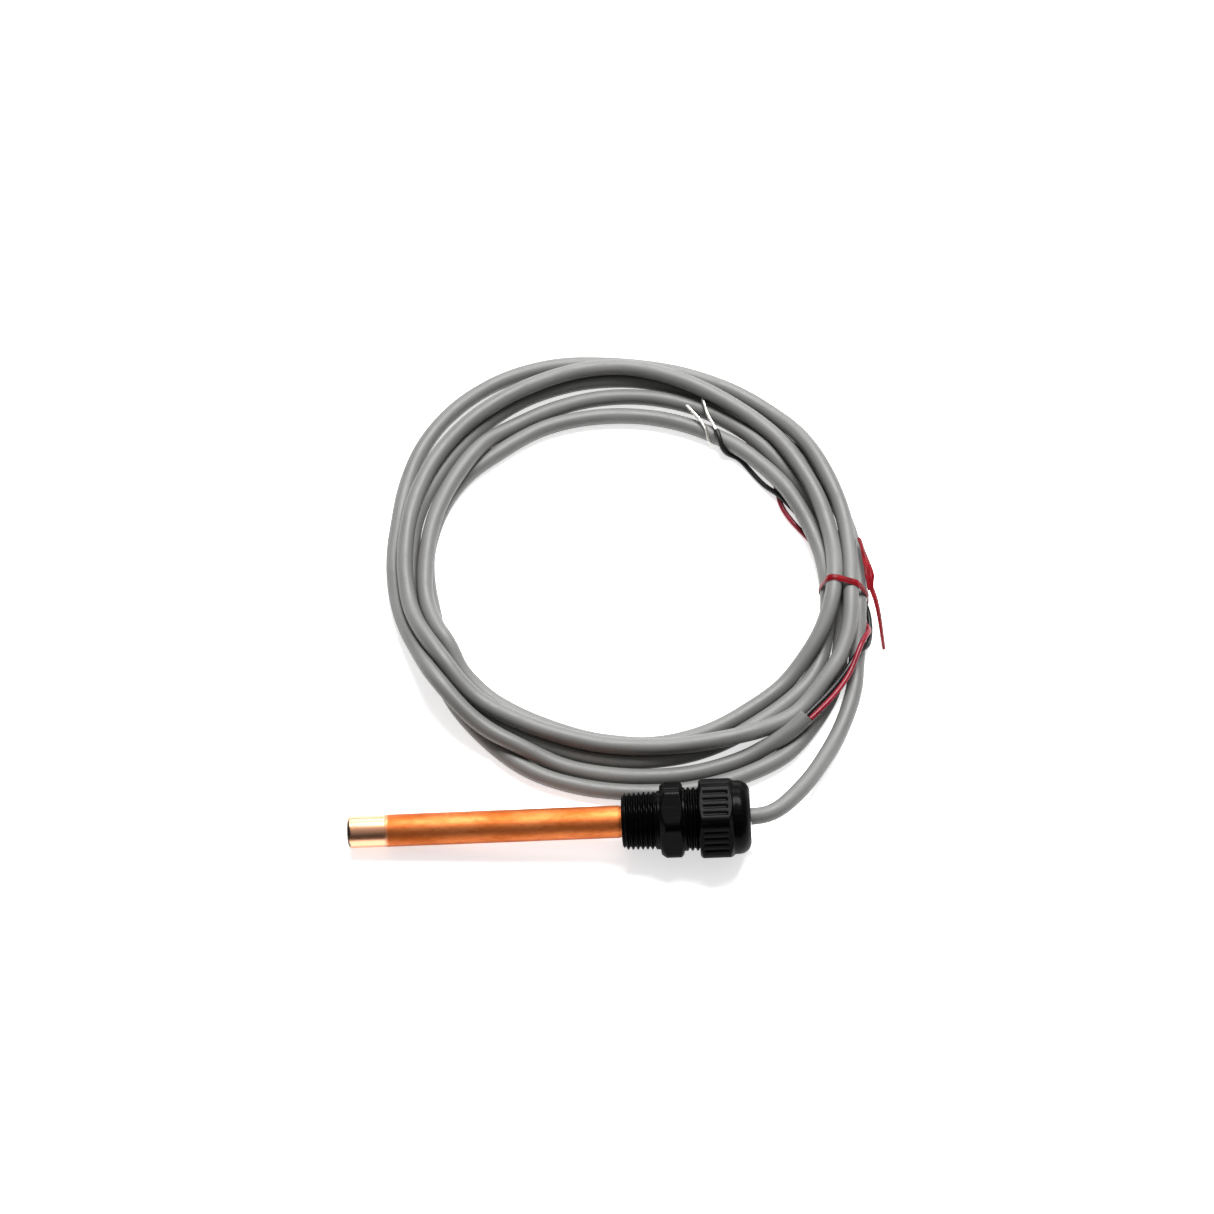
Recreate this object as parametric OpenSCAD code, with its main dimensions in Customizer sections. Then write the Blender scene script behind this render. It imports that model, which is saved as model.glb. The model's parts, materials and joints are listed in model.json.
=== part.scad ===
// Immersion temperature probe: a closed copper sheath in a black nylon cable gland,
// with a coiled two-core lead. Millimetres. The probe lies on its side: its tip and the
// gland's nut rest on the plane z = 0, so its axis climbs a few degrees along +X.

/* [Sheath] */
// Outside diameter of the copper sheath
sheath_od = 9.53; // [9.3:0.01:9.8]
// Wall thickness of the sheath
sheath_wall = 0.81; // [0.6:0.01:0.9]
// Length of sheath that shows outside the gland
sheath_free = 80; // [60:1:150]
// Length of sheath bonded inside the gland
sheath_in = 20; // [16:1:21]

/* [Gland] */
// Length of the taper-threaded nipple
nipple_len = 11.2; // [10:0.1:12]
// Crest diameter of the nipple's thread at the hex
nipple_od = 17.1; // [16.8:0.1:17.4]
// Thickness of the wrench hex
flange_len = 6.6; // [5:0.1:8]
// Wrench hex across its flats
flange_af = 20.6; // [20:0.1:21]
// Gap between the wrench hex and the clamping nut
neck_gap = 4.7; // [3:0.1:6]
// Crest diameter of the clamping thread
neck_od = 18.6; // [18.4:0.1:18.8]
// Clamping nut across its flats
nut_af = 22; // [21.6:0.1:24]
// Length of the nut's hex
nut_hex_len = 9.9; // [9:0.1:12]
// Length of the nut's round nose
nut_nose_len = 5; // [4.6:0.1:5.4]
// Diameter of the cable opening in the nut's nose
nut_mouth_d = 10.5; // [9:0.1:11]
// Pitch of the clamping thread
clamp_pitch = 1.5; // [1:0.1:2]

/* [Cable] */
// Outside diameter of the cable
cable_d = 5; // [4.6:0.1:5.2]
// Outside diameter of each insulated lead
lead_d = 1.6; // [1.4:0.1:1.8]
// Diameter of the bare tinned strands
strand_d = 0.9; // [0.7:0.1:1]

/* [Coil] */
// Coil centre from the probe's middle, along X
coil_x = 24.5; // [24:0.1:26]
// Coil centre behind the probe's axis, along Y
coil_y = 84; // [84:0.1:90]
// Radius inside the coil
coil_inner = 57.3; // [57:0.1:60]
// Radius outside the coil
coil_outer = 72.3; // [70:0.1:72.3]
// Height of the coil
coil_height = 9.4; // [9:0.1:10.5]

/* [Hidden] */
$fn = 64;
eps = 0.01;

// stations along the probe's axis, from the tip
s_nipple = sheath_free;
s_flange = s_nipple + nipple_len;
s_neck = s_flange + flange_len;
s_nut = s_neck + neck_gap;
s_nose = s_nut + nut_hex_len;
s_end = s_nose + nut_nose_len;
s_sheath_end = sheath_free + sheath_in;

// radii
sheath_r = sheath_od / 2;
bore_r = sheath_r - sheath_wall;
cable_r = cable_d / 2;
lead_r = lead_d / 2;
neck_r = neck_od / 2;
run_gap = 0.075;
fit_gap = 0.02;
flange_r = flange_af / sqrt(3);
nut_r = nut_af / sqrt(3);
nose_r = 10.7;
nose_fillet = 3.6;
flange_chamfer = 1.6;
nut_chamfer = 0.5;
hex_round = 0.5;

// tip
plug_len = 3;
plug_dome = 0.5;
tip_edge = 0.5;
potting_end = 13;

// ring groove rolled into the sheath where the gland's nipple stops
groove_len = 0.7;
groove_depth = 0.2;

// junction, wires and insulators
bead_s = 9;
bead_r = 1.1;
wire_r = 0.4;
wire_offset = 1.75;
wire_bend_s = 12.5;
wire_lap = 0.1;
bead_count = 4;
bead_len = 12;
bead_pitch = 12.3;
first_bead_s = 13.2;
bead_od = 7;
bead_hole_r = 0.5;

// splices and the cable's own ends
splice_s = 66;
splice_len = 9;
splice_r = 1.2;
sleeve_s = 64;
sleeve_len = 13;
sleeve_r = 1.65;
inner_lead_s = 71;
jacket_s = 92;
inner_offset = 1.75;
seal_s = 94;

// gland chamber
body_bore_r = 5.8;
chamber_r = 6.6;
chamber_s = 101.5;
body_end = 108.5;
grommet_end = 109.6;
washer_len = 1.3;
washer_r = 8;
washer_bore_r = 3.4;
thread_pitch = 1.411;
thread_depth = 0.75;
taper = 1 / 32;
lead_in = 1.2;
land_len = 0.4;
grip_grooves = 4;
grip_depth = 0.18;
grip_width = 0.7;

// lay: the tip's rim and the lower of the gland's two hexes touch z = 0
flange_turn = 5;
flange_low = (flange_r - hex_round) * cos(30 - flange_turn);
nut_low = nut_af / 2;
lay_angle = max(
    atan((flange_low - sheath_r) / (s_flange + flange_chamfer)),
    atan((nut_low - sheath_r) / (s_nut + nut_chamfer / 2))
);
lift = sheath_r * cos(lay_angle);
nose_reach = (s_end - nose_fillet) * cos(lay_angle)
    + (nose_r - nose_fillet) * sin(lay_angle) + nose_fillet;
tip_x = -(nose_reach - sheath_r * sin(lay_angle)) / 2;

// coil section: three turns on the surface and the upper turns in their grooves
coil_shoulder = 4;
coil_slope = 3;
lead_gap = 1.7;
lead_gap_len = 46;
tie_gap_len = 14;
strand_angle = 65;
strand_gap_len = 22;
strand_gap_reach = 17;

// cable from the gland to the coil
cable_route = [
    [58.5, 0, 11.9], [62, 0.3, 12.1], [65.6, 1.6, 12.1], [69, 4.2, 11.6],
    [72.4, 7.8, 10.6], [75.6, 11.8, 9.3], [78.6, 16.2, 7.8], [81.5, 21, 6.3],
    [84.3, 26, 4.9], [86.8, 31.2, 3.8], [89.1, 36.7, 3], [91, 42.4, 2.6],
    [92.3, 48.2, 2.5], [92.7, 53.6, 2.6], [92.6, 59, 3.1], [92.6, 64.4, 3.9],
    [93.2, 69.8, 4.6]
];

// red lead from the jacket's end to its bare strands
red_route = [
    [77.6, 32.7, 7.9], [81.2, 36.2, 8], [84.8, 40, 7.9], [87.8, 44, 7.6],
    [90.4, 48.2, 7.5], [92.2, 52.5, 7.7], [93.7, 56.4, 8.1], [95.6, 60.4, 6.8],
    [96.5, 64, 3.7], [95.4, 68, 1.6], [94, 72.4, 1.2], [91, 77, 1.2],
    [88.2, 81.8, 0.9], [85.9, 87.2, 0.8], [83.7, 92.3, 0.8], [80.8, 97, 0.8],
    [77.2, 101.4, 0.8], [74.5, 105.2, 0.8], [72.6, 109, 0.8], [71.7, 112.9, 0.8],
    [71.1, 117.3, 0.8], [70, 122.2, 0.8], [67.3, 127.5, 0.8], [63, 130.8, 0.8],
    [58.6, 131.9, 0.8], [54.3, 131.7, 1]
];

// black lead, which crosses under the red one near the tie and over it further on
black_route = [
    [76.4, 33.9, 7.7], [80, 37.6, 7.6], [83.4, 41.2, 7.4], [86.4, 45, 7],
    [89, 48.8, 6.3], [91.1, 52.3, 6], [93.1, 55.3, 6.3], [95.4, 57.5, 5.3],
    [96.9, 60.2, 3.2], [97.7, 63.8, 1.5], [97.8, 68.2, 0.9], [97.2, 73.2, 1.2],
    [94.6, 77.8, 1.2], [91.4, 81.8, 0.9], [88.8, 86, 0.8], [86.3, 91, 0.8],
    [83.8, 96.6, 0.8], [80.4, 102.2, 0.8], [77.2, 106.4, 0.8], [74.2, 109.6, 2.1],
    [71.6, 112.3, 2.7], [68.8, 115, 1], [65.7, 118.6, 0.8], [62.4, 123.2, 0.8],
    [59.5, 127.2, 0.9], [56.4, 129.5, 3.2], [54.3, 131.7, 5.2], [53.1, 133.5, 5.9]
];

// bare tinned strands of both leads, lying over the coil
red_strands = [
    [54.3, 131.7, 1], [51.2, 131.3, 2.4], [50.2, 133.6, 4.8], [48.5, 136.6, 6.2],
    [46.2, 139.8, 6], [44.1, 142.8, 5.9]
];
black_strands = [
    [53.1, 133.5, 5.9], [51.9, 136.2, 6], [50.6, 139.2, 6], [49.8, 142.2, 5.9],
    [49, 145.2, 5.8]
];

// twist tie round the coil, which it gathers into a narrower and taller bundle
tie_angle = -6.5;
tie_width = 1.9;
tie_thick = 0.7;
tie_inner = 60;
tie_outer = 73.2;
tie_top = 15.2;
tie_bevel = 3.5;
tie_twist = [
    [98, 75.6, 7.6], [97.9, 77.4, 8.2], [97.8, 80.2, 8.8],
    [97.2, 84.4, 8.8], [96.4, 88.8, 8.4], [95.5, 93.2, 8]
];
tie_tail = [
    [98.2, 76.4, 7.6], [99, 74, 7.2], [99.9, 70.6, 6],
    [100.8, 65.4, 3.6], [101.6, 58.6, 1.4]
];
tie_twist_r = 1.2;
tie_tail_r = 0.5;

// turns axis-along-Z geometry into the probe's lie
module lay() {
    translate([tip_x, 0, lift])
        rotate([0, 90 - lay_angle, 0])
            children();
}

// solid of revolution about the axis between two stations
module rod(s0, s1, r) {
    translate([0, 0, s0])
        cylinder(r = r, h = s1 - s0);
}

// hollow sleeve between two stations
module sleeve(s0, s1, r_out, r_in) {
    difference() {
        rod(s0, s1, r_out);
        rod(s0 - eps, s1 + eps, r_in);
    }
}

// hex prism whose corners are turned down to a cylinder and chamfered at both ends
module turned_hex(s0, s1, af, chamfer_low, chamfer_high) {
    corner = af / sqrt(3) - hex_round;
    flat_r = af / 2 - 0.2;
    step_low = (corner - flat_r) * 0.6;
    intersection() {
        translate([0, 0, s0])
            cylinder(r = af / sqrt(3), h = s1 - s0, $fn = 6);
        rotate_extrude()
            polygon([
                [0, s0], [flat_r, s0], [corner, s0 + max(chamfer_low, step_low)],
                [corner, s1 - max(chamfer_high, step_low)], [flat_r, s1], [0, s1]
            ]);
    }
}

// fillet points of a quarter circle, from the side round to the end face
function fillet(r, s, round) = [
    for (i = [0 : 6])
        [r - round + round * cos(i * 15), s - round + round * sin(i * 15)]
];

// frame vectors of a swept tube at point i
function unit(v) = v / norm(v);
function tangent(p, i) = unit(p[min(i + 1, len(p) - 1)] - p[max(i - 1, 0)]);
function side(t) = unit(cross(t, [0, 0, 1]));
function ring(p, i, r, n) =
    let (t = tangent(p, i), a = side(t), b = cross(a, t))
    [for (k = [0 : n - 1]) p[i] + r * (cos(k * 360 / n) * a + sin(k * 360 / n) * b)];

// one closed tube swept along a list of points
module tube(p, r, n) {
    rings = len(p);
    points = [for (i = [0 : rings - 1]) each ring(p, i, r, n)];
    walls = [
        for (i = [0 : rings - 2])
            for (k = [0 : n - 1])
                [i * n + k, i * n + (k + 1) % n, (i + 1) * n + (k + 1) % n, (i + 1) * n + k]
    ];
    start_cap = [for (k = [0 : n - 1]) n - 1 - k];
    end_cap = [for (k = [0 : n - 1]) (rings - 1) * n + k];
    polyhedron(points, concat(walls, [start_cap, end_cap]), convexity = 8);
}

module sheath_tube() {
    color([0.78, 0.42, 0.22])
        lay()
            rotate_extrude()
                polygon([
                    [bore_r, 0], [sheath_r - tip_edge, 0], [sheath_r, tip_edge],
                    [sheath_r, s_nipple - groove_len],
                    [sheath_r - groove_depth, s_nipple - groove_len],
                    [sheath_r - groove_depth, s_nipple + groove_len],
                    [sheath_r, s_nipple + groove_len],
                    [sheath_r, s_sheath_end], [bore_r, s_sheath_end]
                ]);
}

module tip_plug() {
    color([0.2, 0.19, 0.19])
        lay()
            rotate_extrude()
                polygon(concat(
                    [[0, plug_len]],
                    [for (i = [0 : 5])
                        [(bore_r - fit_gap) * i / 5, -plug_dome * cos(i * 18) + plug_dome]],
                    [[bore_r - fit_gap, plug_len]]
                ));
}

module junction_bead() {
    color("silver")
        lay()
            translate([0, 0, bead_s])
                sphere(r = bead_r);
}

// slanted stretch of wire between the bead and its bore in the insulators
module wire_bend(dir, r) {
    slant = atan(wire_offset / (wire_bend_s - bead_s));
    reach = norm([wire_offset, wire_bend_s - bead_s]);
    translate([0, 0, bead_s])
        rotate([-dir * slant, 0, 0])
            cylinder(r = r, h = reach + wire_lap);
}

// wire from the bead out to its bore and on to its splice
module thermo_wire(dir) {
    difference() {
        union() {
            wire_bend(dir, wire_r);
            translate([0, dir * wire_offset, 0])
                rod(wire_bend_s - wire_lap, inner_lead_s - 0.5, wire_r);
        }
        translate([0, 0, bead_s])
            sphere(r = bead_r + fit_gap);
    }
}

module thermo_wire_positive() {
    color([0.75, 0.72, 0.66])
        lay()
            thermo_wire(1);
}

module thermo_wire_negative() {
    color([0.66, 0.66, 0.68])
        lay()
            thermo_wire(-1);
}

// heat-conducting fill under and round the junction, with a conical pocket for the wires
module tip_potting() {
    fill_r = bore_r - fit_gap;
    pocket_r = wire_offset + wire_r + 0.1;
    color([0.85, 0.83, 0.78])
        lay()
            rotate_extrude()
                polygon([
                    [0, plug_len + fit_gap], [fill_r, plug_len + fit_gap], [fill_r, potting_end],
                    [pocket_r, potting_end], [pocket_r, wire_bend_s],
                    [bead_r + 0.2, bead_s - bead_r - fit_gap], [0, bead_s - bead_r - fit_gap]
                ]);
}

module ceramic_beads() {
    color([0.93, 0.91, 0.85])
        lay()
            for (i = [0 : bead_count - 1]) {
                s = first_bead_s + i * bead_pitch;
                difference() {
                    rod(s, s + bead_len, bead_od / 2);
                    for (dir = [-1, 1])
                        translate([0, dir * wire_offset, 0])
                            rod(s - 1, s + bead_len + 1, bead_hole_r);
                }
            }
}

// crimp barrel over the wire's end and the stripped lead
module splice(dir) {
    translate([0, dir * wire_offset, 0])
        sleeve(splice_s, splice_s + splice_len, splice_r, lead_r + fit_gap);
}

module splice_red() {
    color("silver")
        lay()
            splice(1);
}

module splice_black() {
    color("silver")
        lay()
            splice(-1);
}

module splice_sleeve(dir) {
    translate([0, dir * wire_offset, 0])
        sleeve(sleeve_s, sleeve_s + sleeve_len, sleeve_r, splice_r + fit_gap);
}

module splice_sleeve_red() {
    color([0.12, 0.12, 0.13])
        lay()
            splice_sleeve(1);
}

module splice_sleeve_black() {
    color([0.12, 0.12, 0.13])
        lay()
            splice_sleeve(-1);
}

module inner_lead(dir) {
    translate([0, dir * inner_offset, 0])
        rod(inner_lead_s, jacket_s - fit_gap, lead_r);
}

module inner_lead_red() {
    color([0.75, 0.05, 0.1])
        lay()
            inner_lead(1);
}

module inner_lead_black() {
    color([0.08, 0.08, 0.08])
        lay()
            inner_lead(-1);
}

module sheath_mouth_seal() {
    color([0.25, 0.22, 0.2])
        lay()
            sleeve(seal_s, s_sheath_end, bore_r - fit_gap, cable_r + fit_gap);
}

// adhesive between the sheath and the gland's bore
module gland_bond() {
    color([0.2, 0.2, 0.2])
        lay()
            sleeve(s_nipple + 0.3, s_sheath_end, body_bore_r - fit_gap, sheath_r + fit_gap);
}

// crest and root radii of the tapered thread at a station
function crest(s) = nipple_od / 2 - (s_flange - s) * taper;

// outline of the nipple: rings of a 60 degree thread on a 1 in 16 taper
function nipple_outline() =
    let (turns = floor((nipple_len - lead_in - 1) / thread_pitch))
    concat(
        [[crest(s_nipple) - thread_depth - 0.4, s_nipple]],
        [[crest(s_nipple) - thread_depth, s_nipple + lead_in - thread_pitch / 2]],
        [for (i = [0 : turns - 1])
            let (s = s_nipple + lead_in + i * thread_pitch)
            each [
                [crest(s) - thread_depth, s],
                [crest(s), s + thread_pitch * 0.45],
                [crest(s), s + thread_pitch * 0.55]
            ]],
        [[crest(s_flange) - thread_depth, s_nipple + lead_in + turns * thread_pitch]],
        [[crest(s_flange), s_flange - land_len], [crest(s_flange), s_flange + 1]]
    );

// outline of the neck: the clamping thread is cut into it, so its crests stay cylindrical
function neck_outline() =
    let (turns = floor((body_end - s_neck - 1) / clamp_pitch))
    concat(
        [[neck_r, s_neck - 1]],
        [for (i = [0 : turns - 1])
            let (s = s_neck + 0.5 + i * clamp_pitch)
            each [
                [neck_r, s],
                [neck_r - 0.7, s + clamp_pitch * 0.4],
                [neck_r - 0.7, s + clamp_pitch * 0.5],
                [neck_r, s + clamp_pitch * 0.9]
            ]],
        [[neck_r, body_end - 0.6]],
        [[neck_r - 0.6, body_end]]
    );

module gland_body() {
    color([0.05, 0.05, 0.055])
        lay()
            difference() {
                union() {
                    rotate_extrude()
                        polygon(concat([[0, s_nipple]], nipple_outline(), [[0, s_flange + 1]]));
                    rotate(30 + flange_turn)
                        turned_hex(s_flange, s_neck, flange_af, flange_chamfer, 0.8);
                    rotate_extrude()
                        polygon(concat([[0, s_neck - 1]], neck_outline(), [[0, body_end]]));
                }
                rod(s_nipple - 1, s_sheath_end, body_bore_r);
                rod(s_sheath_end - 1, chamber_s + 1, cable_r + 0.3);
                rotate_extrude()
                    polygon([
                        [0, chamber_s], [chamber_r, chamber_s], [chamber_r, body_end - 1.2],
                        [chamber_r + 1.3, body_end + eps], [0, body_end + eps]
                    ]);
            }
}

// rubber bush round the cable, flared where the nut squeezes it
module sealing_grommet() {
    color([0.1, 0.1, 0.1])
        lay()
            rotate_extrude()
                polygon([
                    [cable_r + fit_gap, chamber_s + fit_gap], [chamber_r - fit_gap, chamber_s + fit_gap],
                    [chamber_r - fit_gap, body_end - 1.2],
                    [chamber_r + 0.75, body_end - 0.5], [chamber_r + 0.75, grommet_end],
                    [cable_r + 0.7, grommet_end], [cable_r + fit_gap, grommet_end - 0.7]
                ]);
}

// nylon ring between the grommet and the nut, so the nut doesn't wind the rubber up
module friction_washer() {
    color([0.75, 0.75, 0.72])
        lay()
            sleeve(grommet_end + fit_gap, grommet_end + washer_len, washer_r, washer_bore_r);
}

module clamp_nut() {
    seat_s = grommet_end + washer_len + fit_gap;
    color([0.06, 0.06, 0.065])
        lay()
            difference() {
                union() {
                    rotate(30)
                        turned_hex(s_nut, s_nose, nut_af, nut_chamfer, 1);
                    rotate_extrude()
                        polygon(concat(
                            [[0, s_nut + 1], [nose_r - 0.5, s_nut + 1], [nose_r - 0.5, s_nose - 1],
                             [nose_r, s_nose]],
                            fillet(nose_r, s_end, nose_fillet),
                            [[0, s_end]]
                        ));
                }
                rod(s_nut - 1, seat_s, neck_r + run_gap);
                rotate_extrude()
                    polygon([
                        [0, seat_s - eps], [nut_mouth_d / 2, seat_s - eps],
                        [nut_mouth_d / 2, s_end - 0.8], [nut_mouth_d / 2 + 0.8, s_end + eps],
                        [0, s_end + eps]
                    ]);
                for (face = [0 : 5], i = [0 : grip_grooves - 1])
                    rotate(face * 60)
                        translate([
                            nut_af / 2 - grip_depth,
                            (i - (grip_grooves - 1) / 2) * nut_af / 10 - grip_width / 2,
                            s_nut + 1.5
                        ])
                            cube([1, grip_width, nut_hex_len - 3]);
            }
}

module cable_entry() {
    color([0.55, 0.55, 0.55])
        lay()
            rod(jacket_s, s_end, cable_r);
}

module cable_run() {
    color([0.6, 0.6, 0.6])
        tube(cable_route, cable_r, 10);
}

module cable_coil() {
    color([0.62, 0.62, 0.62])
        translate([coil_x, coil_y, 0])
            difference() {
                rotate_extrude()
                    polygon([
                        [coil_inner, 0], [coil_outer, 0], [coil_outer, coil_shoulder],
                        [coil_outer - coil_slope, coil_height],
                        [coil_inner + coil_slope, coil_height], [coil_inner, coil_shoulder]
                    ]);
                rotate(tie_angle) {
                    translate([coil_inner - 8, -lead_gap_len / 2, -1])
                        cube([coil_outer - coil_inner + 16, lead_gap_len, lead_gap + 1]);
                    translate([coil_inner - 8, -tie_gap_len / 2, -1])
                        cube([tie_inner + tie_thick + 0.1 - coil_inner + 8, tie_gap_len, coil_height + 2]);
                }
                rotate(strand_angle)
                    translate([coil_inner - 8, -strand_gap_len / 2, cable_d + 0.1])
                        cube([strand_gap_reach, strand_gap_len, coil_height]);
            }
}

module lead_red() {
    color([0.75, 0.05, 0.12])
        tube(red_route, lead_r, 8);
}

module lead_black() {
    color([0.06, 0.06, 0.06])
        tube(black_route, lead_r, 8);
}

module tinned_end_red() {
    color([0.85, 0.85, 0.83])
        tube(red_strands, strand_d / 2, 8);
}

module tinned_end_black() {
    color([0.85, 0.85, 0.83])
        tube(black_strands, strand_d / 2, 8);
}

// cross-section of the tie's loop, drawn in by a wall thickness
function tie_section(wall) = [
    [tie_inner + wall, wall], [tie_outer - wall, wall],
    [tie_outer - wall, tie_top - tie_bevel], [tie_outer - tie_bevel, tie_top - wall],
    [tie_inner + tie_bevel, tie_top - wall], [tie_inner + wall, tie_top - tie_bevel]
];

// loop of flat tie round the coil, with its twisted ends and loose tail
module twist_tie() {
    color([0.75, 0.02, 0.08]) {
        translate([coil_x, coil_y, 0])
            rotate([90, 0, tie_angle])
                linear_extrude(height = tie_width, center = true)
                    difference() {
                        polygon(tie_section(0));
                        polygon(tie_section(tie_thick));
                    }
        tube(tie_twist, tie_twist_r, 8);
        tube(tie_tail, tie_tail_r, 8);
    }
}

sheath_tube();
tip_plug();
tip_potting();
junction_bead();
thermo_wire_positive();
thermo_wire_negative();
ceramic_beads();
splice_red();
splice_black();
splice_sleeve_red();
splice_sleeve_black();
inner_lead_red();
inner_lead_black();
sheath_mouth_seal();
gland_bond();
gland_body();
sealing_grommet();
friction_washer();
clamp_nut();
cable_entry();
cable_run();
cable_coil();
lead_red();
lead_black();
tinned_end_red();
tinned_end_black();
twist_tie();
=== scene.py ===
"""Looks of the thermocouple probe: copper sheath, black nylon gland and a coiled grey cable."""
import json
import math

import bpy
import numpy as np
from mathutils import Matrix, Vector


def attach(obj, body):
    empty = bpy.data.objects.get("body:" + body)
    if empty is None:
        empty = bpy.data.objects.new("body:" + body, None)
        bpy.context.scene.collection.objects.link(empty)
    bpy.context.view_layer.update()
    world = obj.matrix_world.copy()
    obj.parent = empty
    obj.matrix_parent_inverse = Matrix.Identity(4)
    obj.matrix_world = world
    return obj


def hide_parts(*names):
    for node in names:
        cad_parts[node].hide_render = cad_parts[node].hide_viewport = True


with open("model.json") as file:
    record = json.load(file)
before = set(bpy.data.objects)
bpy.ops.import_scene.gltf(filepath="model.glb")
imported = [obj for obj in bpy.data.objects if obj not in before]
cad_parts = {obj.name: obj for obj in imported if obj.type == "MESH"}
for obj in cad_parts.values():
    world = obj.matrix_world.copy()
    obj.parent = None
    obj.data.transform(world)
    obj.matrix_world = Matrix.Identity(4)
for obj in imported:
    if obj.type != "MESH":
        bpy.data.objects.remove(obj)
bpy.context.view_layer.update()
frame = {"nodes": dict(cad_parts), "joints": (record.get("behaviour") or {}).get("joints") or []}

MM = 0.001
ROOT, NUT = "probe", "nut"


# ---------------------------------------------------------------- the probe's own frame
# Local +Z runs along the probe's axis from its tip, and local +X points down.

joints = {j["name"]: j for j in frame["joints"]}
axis = Vector(joints["nut_turn"]["axis"]).normalized()
outlet = Vector(joints["nut_turn"]["pos_m"])
PROBE_LENGTH = 117.4
tip = outlet - axis * PROBE_LENGTH * MM
down = Vector((0, 1, 0)).cross(axis)
PROBE = Matrix.Translation(tip) @ Matrix((down, Vector((0, 1, 0)), axis)).transposed().to_4x4()


# ---------------------------------------------------------------- camera, light and floor

CAMERA_TARGET = Vector((18, 75, 0)) * MM
CAMERA_DISTANCE = 0.9
CAMERA_ELEVATION = math.radians(63)
CAMERA_AZIMUTH = math.radians(-0.93)
CAMERA_LENS = 87.4
BRIGHTEST_SKY = (0, 0.55, 0.83)
SKY_STRENGTH = 0.5
FLOOR_HALF = 3.0
FLOOR_DROP = 0.00005
FLOOR_GLOW = 0.62


def make_camera():
    back = Vector((
        math.sin(CAMERA_AZIMUTH) * math.cos(CAMERA_ELEVATION),
        -math.cos(CAMERA_AZIMUTH) * math.cos(CAMERA_ELEVATION),
        math.sin(CAMERA_ELEVATION),
    ))
    data = bpy.data.cameras.new("camera")
    data.sensor_width = 36
    data.lens = CAMERA_LENS
    data.clip_start = 0.05
    data.clip_end = 20
    camera = bpy.data.objects.new("camera", data)
    camera.location = CAMERA_TARGET + back * CAMERA_DISTANCE
    camera.rotation_mode = "QUATERNION"
    camera.rotation_quaternion = (-back).to_track_quat("-Z", "Y")
    bpy.context.scene.collection.objects.link(camera)
    bpy.context.scene.camera = camera


def area_light(name, place, size, power):
    data = bpy.data.lights.new(name, "AREA")
    data.shape = "RECTANGLE"
    data.size, data.size_y = size
    data.energy = power
    light = bpy.data.objects.new(name, data)
    light.location = place
    light.rotation_mode = "QUATERNION"
    light.rotation_quaternion = (CAMERA_TARGET - Vector(place)).to_track_quat("-Z", "Y")
    bpy.context.scene.collection.objects.link(light)


def make_lights():
    """Two soft lamps, and a sky that brightens upward and towards the back."""
    area_light("key", (0.2, 0.7, 1.2), (0.75, 0.5), 35)
    area_light("rim", (0.1, 1.4, 0.6), (1.0, 0.35), 8)
    world = bpy.data.worlds.new("studio")
    world.use_nodes = True
    tree = world.node_tree
    background = tree.nodes["Background"]
    coords = tree.nodes.new("ShaderNodeTexCoord")
    facing = tree.nodes.new("ShaderNodeVectorMath")
    facing.operation = "DOT_PRODUCT"
    facing.inputs[1].default_value = BRIGHTEST_SKY
    ramp = tree.nodes.new("ShaderNodeValToRGB")
    tree.links.new(coords.outputs["Generated"], facing.inputs[0])
    tree.links.new(facing.outputs["Value"], ramp.inputs["Fac"])
    for stop, place, grey in zip(ramp.color_ramp.elements, (0.05, 0.85), (0.04, 1)):
        stop.position = place
        stop.color = (grey, grey, grey, 1)
    tree.links.new(ramp.outputs["Color"], background.inputs["Color"])
    background.inputs["Strength"].default_value = SKY_STRENGTH
    bpy.context.scene.world = world
    bpy.context.scene.view_settings.view_transform = "Standard"


def make_floor():
    half = FLOOR_HALF
    mesh = bpy.data.meshes.new("floor")
    corners = [(-half, -half, 0), (half, -half, 0), (half, half, 0), (-half, half, 0)]
    mesh.from_pydata(corners, [], [(0, 1, 2, 3)])
    floor = bpy.data.objects.new("floor", mesh)
    floor.location.z = -FLOOR_DROP
    bpy.context.scene.collection.objects.link(floor)
    material = bpy.data.materials.new("floor_paper")
    material.use_nodes = True
    bsdf = material.node_tree.nodes["Principled BSDF"]
    bsdf.inputs["Base Color"].default_value = (0.95, 0.95, 0.95, 1)
    bsdf.inputs["Roughness"].default_value = 0.9
    bsdf.inputs["Emission Color"].default_value = (1, 1, 1, 1)
    bsdf.inputs["Emission Strength"].default_value = FLOOR_GLOW
    mesh.materials.append(material)


# ---------------------------------------------------------------- material helpers


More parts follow.
